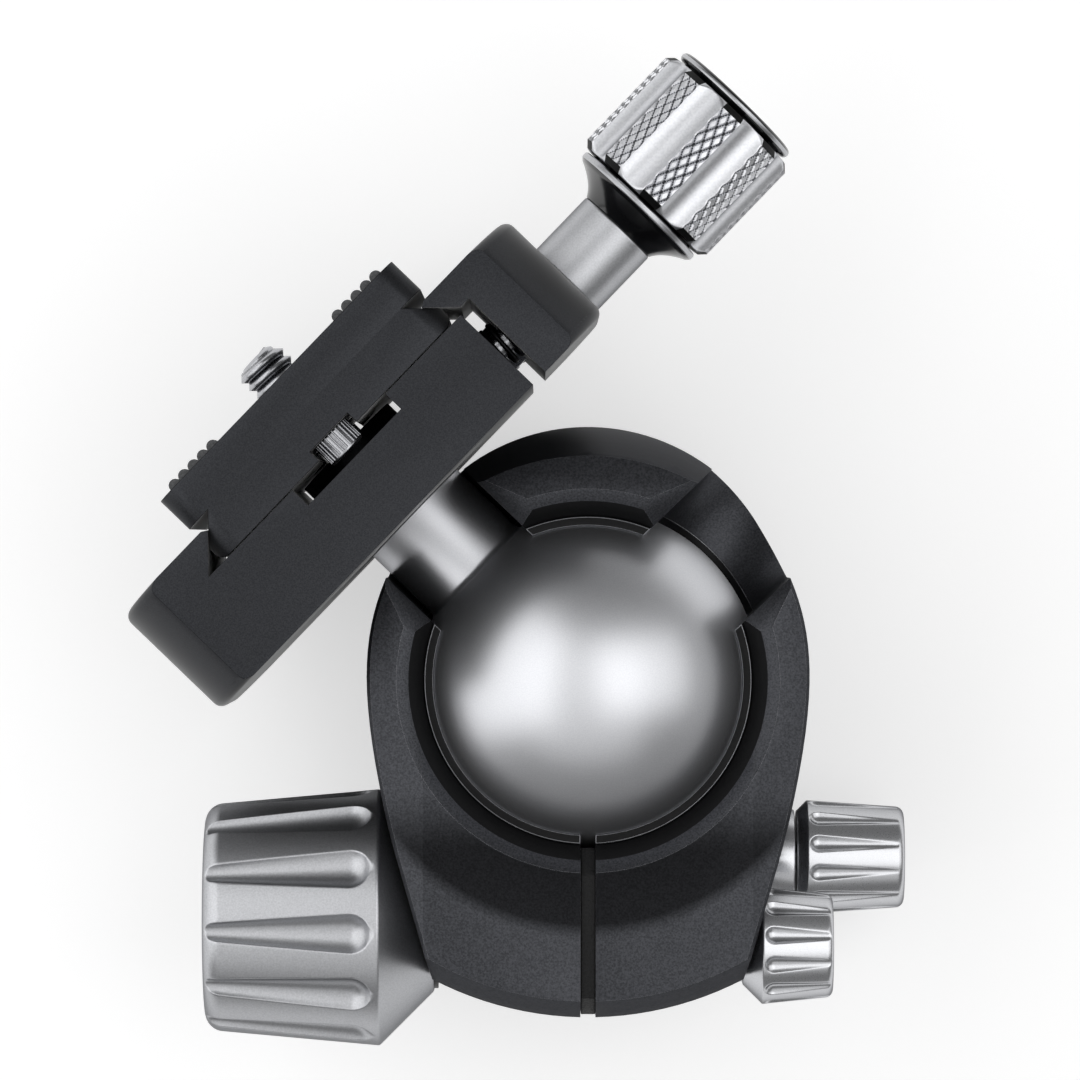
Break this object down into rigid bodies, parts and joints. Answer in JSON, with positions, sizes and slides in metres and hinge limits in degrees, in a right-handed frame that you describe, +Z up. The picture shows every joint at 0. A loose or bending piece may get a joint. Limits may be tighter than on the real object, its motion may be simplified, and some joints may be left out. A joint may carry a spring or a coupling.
{
  "type": "tripod ball head",
  "caption": "Low-profile tripod ball head: split collar with drop notches, lock, drag and pan knobs, and a screw clamp that holds a ribbed dovetail plate.",
  "frame": {"origin": "mouth of the tripod thread, at the middle of the base's resting face, under the ball's centre", "axes": "+Z up out of the base through the ball's centre; -Y towards the slit and its clamping ears, with the big knob on -X and the two small ones on +X"},
  "size_m": [0.0909, 0.116, 0.063],
  "materials": {
    "black_anodised": "bead-blasted, black anodised",
    "dark_knob": "bead-blasted, dark grey anodised",
    "silver_knob": "turned, clear anodised",
    "satin_ball": "fine satin, clear anodised",
    "silver_knurl": "diamond knurled, clear anodised",
    "gloss_black": "turned, glossy black anodised",
    "steel": "turned",
    "dark_spring": "black oxide wire",
    "liner_plastic": "moulded acetal",
    "brass": "turned",
    "ring_aluminium": "turned, black anodised",
    "seal_rubber": "moulded",
    "pad_rubber": "ribbed, grey"
  },
  "bodies": {
    "base": {"pan_base": "black_anodised", "thread_insert": "steel", "pan_washer": "liner_plastic"},
    "housing": {"housing": "black_anodised", "ball_liner": "liner_plastic", "ball_seat": "liner_plastic", "seat_ring": "ring_aluminium", "seat_spring": "steel", "slit_seal": "seal_rubber", "pan_bush": "silver_knob", "pan_cotter": "brass", "retaining_screws": "steel", "main_washer": "brass", "friction_springs": "steel"},
    "main_knob": {"main_knob": "dark_knob", "main_screw": "steel", "main_knob_cap": "dark_knob"},
    "friction_knob": {"friction_knob": "silver_knob", "friction_screw": "steel"},
    "pan_knob": {"pan_knob": "silver_knob", "pan_screw": "steel"},
    "ball_core": {"ball_core": "satin_ball"},
    "ball": {"ball": "satin_ball", "ball_stem": "satin_ball"},
    "clamp": {"clamp_base": "black_anodised", "centre_screw": "steel", "guide_pins": "steel", "jaw_springs": "dark_spring"},
    "jaw": {"jaw": "black_anodised"},
    "clamp_knob": {"clamp_screw": "steel", "knob_boss": "silver_knurl", "knob_flange": "gloss_black", "knob_grip": "silver_knurl", "knob_cap": "gloss_black"},
    "plate": {"quick_plate": "black_anodised", "grip_pads": "pad_rubber", "stop_screws": "steel", "pin_spring": "steel"},
    "camera_screw": {"camera_screw": "steel"},
    "twist_pin": {"twist_pin": "steel"}
  },
  "joints": [
    {"name": "pan", "type": "hinge", "parent": "base", "child": "housing", "pos_m": [0, 0, 0.0084], "axis": [0, 0, 1], "continuous": true},
    {"name": "main_knob_turn", "type": "hinge", "parent": "housing", "child": "main_knob", "pos_m": [-0.0243, -0.028, 0.034], "axis": [-1, 0, 0], "range_deg": [0, 270]},
    {"name": "friction_knob_turn", "type": "hinge", "parent": "housing", "child": "friction_knob", "pos_m": [0.0203, -0.031, 0.04], "axis": [1, 0, 0], "range_deg": [0, 360]},
    {"name": "pan_knob_turn", "type": "hinge", "parent": "housing", "child": "pan_knob", "pos_m": [0.0264, -0.0218, 0.013], "axis": [1, 0, 0], "range_deg": [0, 360]},
    {"name": "ball_lean", "type": "hinge", "parent": "housing", "child": "ball_core", "pos_m": [0, 0, 0.038], "axis": [0.7206, -0.6934, 0], "range_deg": [-90, 15]},
    {"name": "ball_tilt", "type": "hinge", "parent": "ball_core", "child": "ball", "pos_m": [0, 0, 0.038], "axis": [0.6934, 0.7206, 0], "range_deg": [0, 110]},
    {"name": "ball_spin", "type": "hinge", "parent": "ball", "child": "clamp", "pos_m": [-0.02018, 0.01942, 0.038], "axis": [-0.7206, 0.6934, 0], "continuous": true},
    {"name": "jaw_slide", "type": "slide", "parent": "clamp", "child": "jaw", "axis": [0.6934, 0.7206, 0], "range_m": [0, 0.0025], "deforming": ["jaw_springs"]},
    {"name": "clamp_knob_turn", "type": "hinge", "parent": "jaw", "child": "clamp_knob", "pos_m": [0.00643, 0.05571, 0.038], "axis": [0.6934, 0.7206, 0], "range_deg": [0, 900]},
    {"name": "plate_slide", "type": "slide", "parent": "clamp", "child": "plate", "axis": [0, 0, 1], "range_m": [-0.011, 0.011]},
    {"name": "camera_screw_turn", "type": "hinge", "parent": "plate", "child": "camera_screw", "pos_m": [-0.03556, 0.03422, 0.038], "axis": [-0.7206, 0.6934, 0], "continuous": true},
    {"name": "pin_press", "type": "slide", "parent": "plate", "child": "twist_pin", "axis": [-0.7206, 0.6934, 0], "range_m": [-0.0007, 0], "stiffness_N_per_m": 500, "springref_m": 0.0005, "deforming": ["pin_spring"]}
  ],
  "couplings": [
    {"joint": "clamp_knob_turn", "follows": "jaw_slide", "rad_per_m": 6283}
  ]
}
